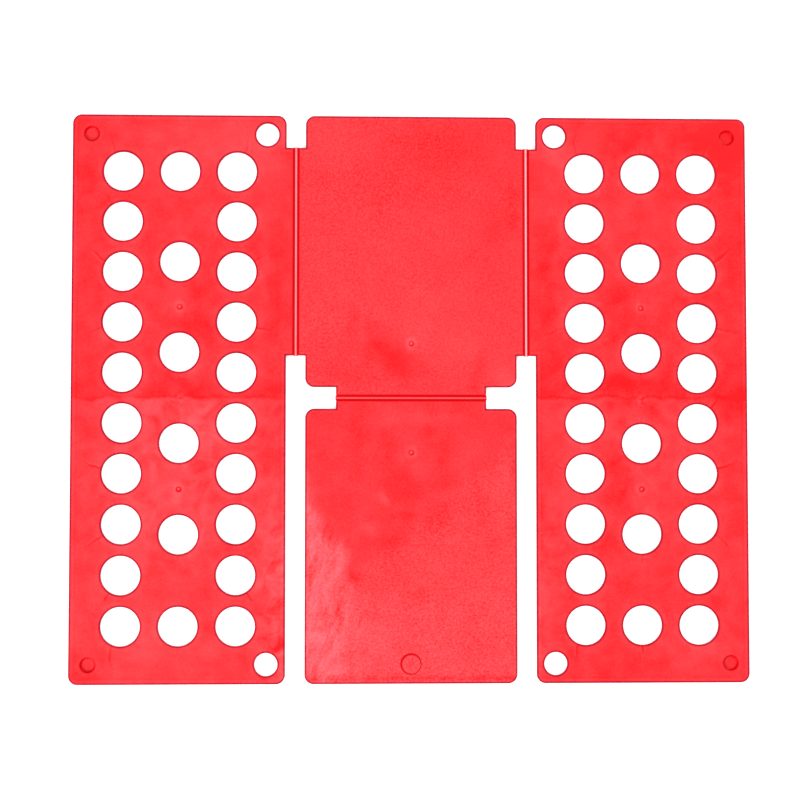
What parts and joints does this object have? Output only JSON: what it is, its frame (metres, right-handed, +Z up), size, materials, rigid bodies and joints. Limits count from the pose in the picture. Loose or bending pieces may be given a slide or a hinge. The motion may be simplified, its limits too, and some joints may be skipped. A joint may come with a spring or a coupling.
{
  "type": "shirt folding board",
  "caption": "Flat plastic board with flip-over panels on living hinges, for folding shirts to one size.",
  "frame": {"origin": "under the middle of the open board, level with the undersides of its four corner studs", "axes": "+X to the right side panel, +Y towards the neck end, +Z up out of the folding surface"},
  "size_m": [0.68, 0.57, 0.0047],
  "materials": {
    "red_polypropylene": "satin, fine mould grain",
    "hinge_web": "satin, thin and see-through at the web"
  },
  "bodies": {
    "centre": {"upper_centre_panel": "red_polypropylene", "left_living_hinge": "hinge_web", "right_living_hinge": "hinge_web", "lower_living_hinge": "hinge_web"},
    "lower_flap": {"lower_centre_panel": "red_polypropylene", "hang_hole_blank": "red_polypropylene"},
    "left_flap": {"left_side_panel": "red_polypropylene", "left_upper_corner_stud": "red_polypropylene", "left_lower_corner_stud": "red_polypropylene"},
    "right_flap": {"right_side_panel": "red_polypropylene", "right_upper_corner_stud": "red_polypropylene", "right_lower_corner_stud": "red_polypropylene"}
  },
  "joints": [
    {"name": "lower_fold", "type": "hinge", "parent": "centre", "child": "lower_flap", "pos_m": [0, 0, 0.0047], "axis": [-1, 0, 0], "range_deg": [0, 180], "deforming": ["lower_living_hinge"]},
    {"name": "left_fold", "type": "hinge", "parent": "centre", "child": "left_flap", "pos_m": [-0.116, 0.1475, 0.0059], "axis": [0, 1, 0], "range_deg": [0, 180], "deforming": ["left_living_hinge"]},
    {"name": "right_fold", "type": "hinge", "parent": "centre", "child": "right_flap", "pos_m": [0.116, 0.1475, 0.0071], "axis": [0, -1, 0], "range_deg": [0, 180], "deforming": ["right_living_hinge"]}
  ]
}
